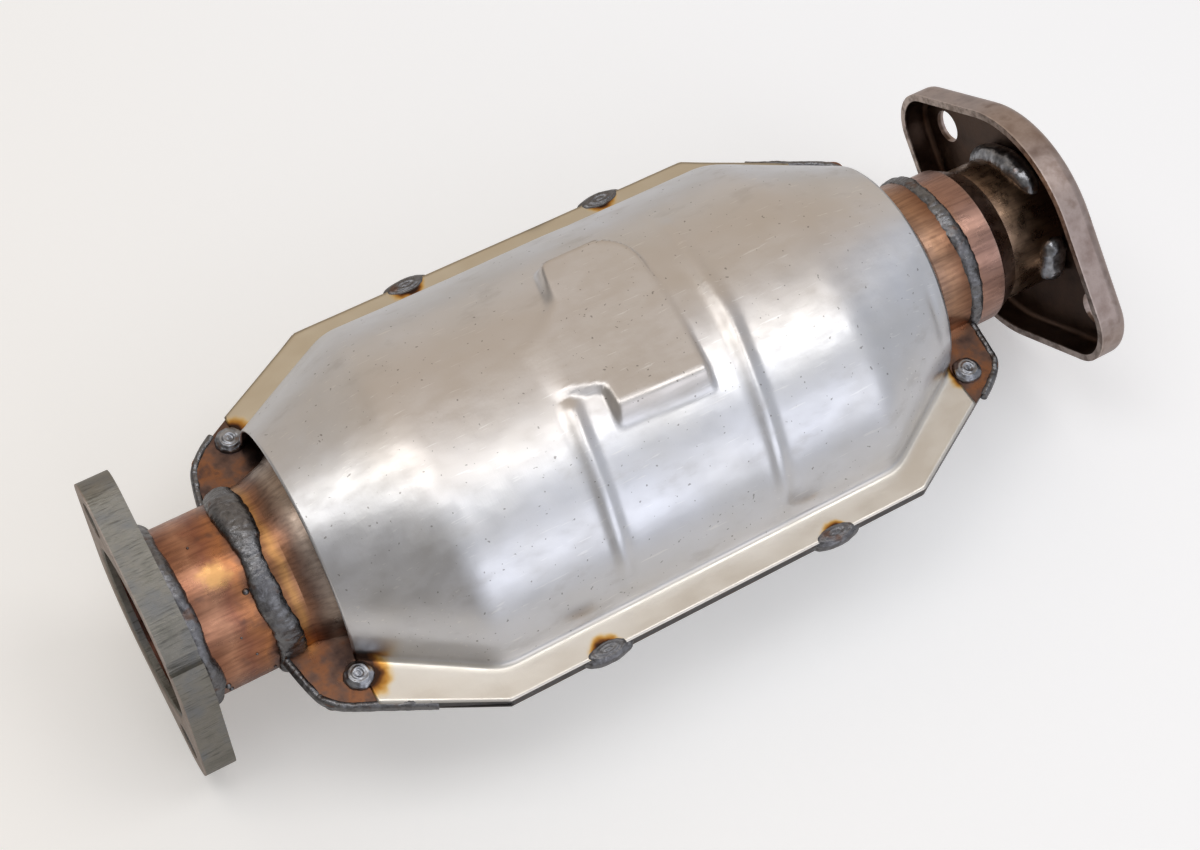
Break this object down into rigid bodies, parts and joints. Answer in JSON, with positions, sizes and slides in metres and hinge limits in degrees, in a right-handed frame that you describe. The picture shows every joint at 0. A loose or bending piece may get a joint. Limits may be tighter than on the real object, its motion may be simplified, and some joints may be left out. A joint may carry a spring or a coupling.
{
  "type": "catalytic converter",
  "caption": "Catalytic converter: clamshell body in pressed heat shields, with a flame-cut inlet flange and a rimmed outlet flange",
  "frame": {"origin": "centre of the inlet flange's outer face, on the pipe axis", "axes": "+X runs along the pipes from the inlet to the outlet, +Z is normal to the plane where the shell halves meet, +Y is the left side seen along +X"},
  "size_m": [0.3043, 0.1452, 0.09],
  "materials": {
    "flame_cut_steel": "rough",
    "tinted_pipe": "heat tinted",
    "pressed_flange_steel": "heat tinted",
    "tinted_stainless": "heat tinted",
    "shield_stainless": "satin",
    "weld_metal": "as welded",
    "ceramic": "matte",
    "fibre_mat": "matte",
    "wire_mesh": "knitted wire"
  },
  "bodies": {
    "root": {"inlet_flange": "flame_cut_steel", "inlet_pipe": "tinted_pipe", "outlet_pipe": "tinted_pipe", "outlet_flange": "pressed_flange_steel", "upper_shell": "tinted_stainless", "lower_shell": "tinted_stainless", "upper_heat_shield": "shield_stainless", "lower_heat_shield": "shield_stainless", "front_brick": "ceramic", "rear_brick": "ceramic", "front_mat": "fibre_mat", "rear_mat": "fibre_mat", "front_mesh_seal": "wire_mesh", "rear_mesh_seal": "wire_mesh", "brick_spacer_ring": "wire_mesh", "inlet_flange_weld": "weld_metal", "inlet_neck_weld": "weld_metal", "outlet_neck_weld": "weld_metal", "outlet_flange_left_weld": "weld_metal", "outlet_flange_right_weld": "weld_metal", "outlet_flange_under_weld": "weld_metal", "upper_inlet_left_plug_weld": "weld_metal", "upper_inlet_right_plug_weld": "weld_metal", "upper_outlet_left_plug_weld": "weld_metal", "upper_outlet_right_plug_weld": "weld_metal", "lower_inlet_left_plug_weld": "weld_metal", "lower_inlet_right_plug_weld": "weld_metal", "lower_outlet_left_plug_weld": "weld_metal", "lower_outlet_right_plug_weld": "weld_metal", "left_front_edge_weld": "weld_metal", "left_rear_edge_weld": "weld_metal", "right_front_edge_weld": "weld_metal", "right_rear_edge_weld": "weld_metal"}
  },
  "joints": []
}
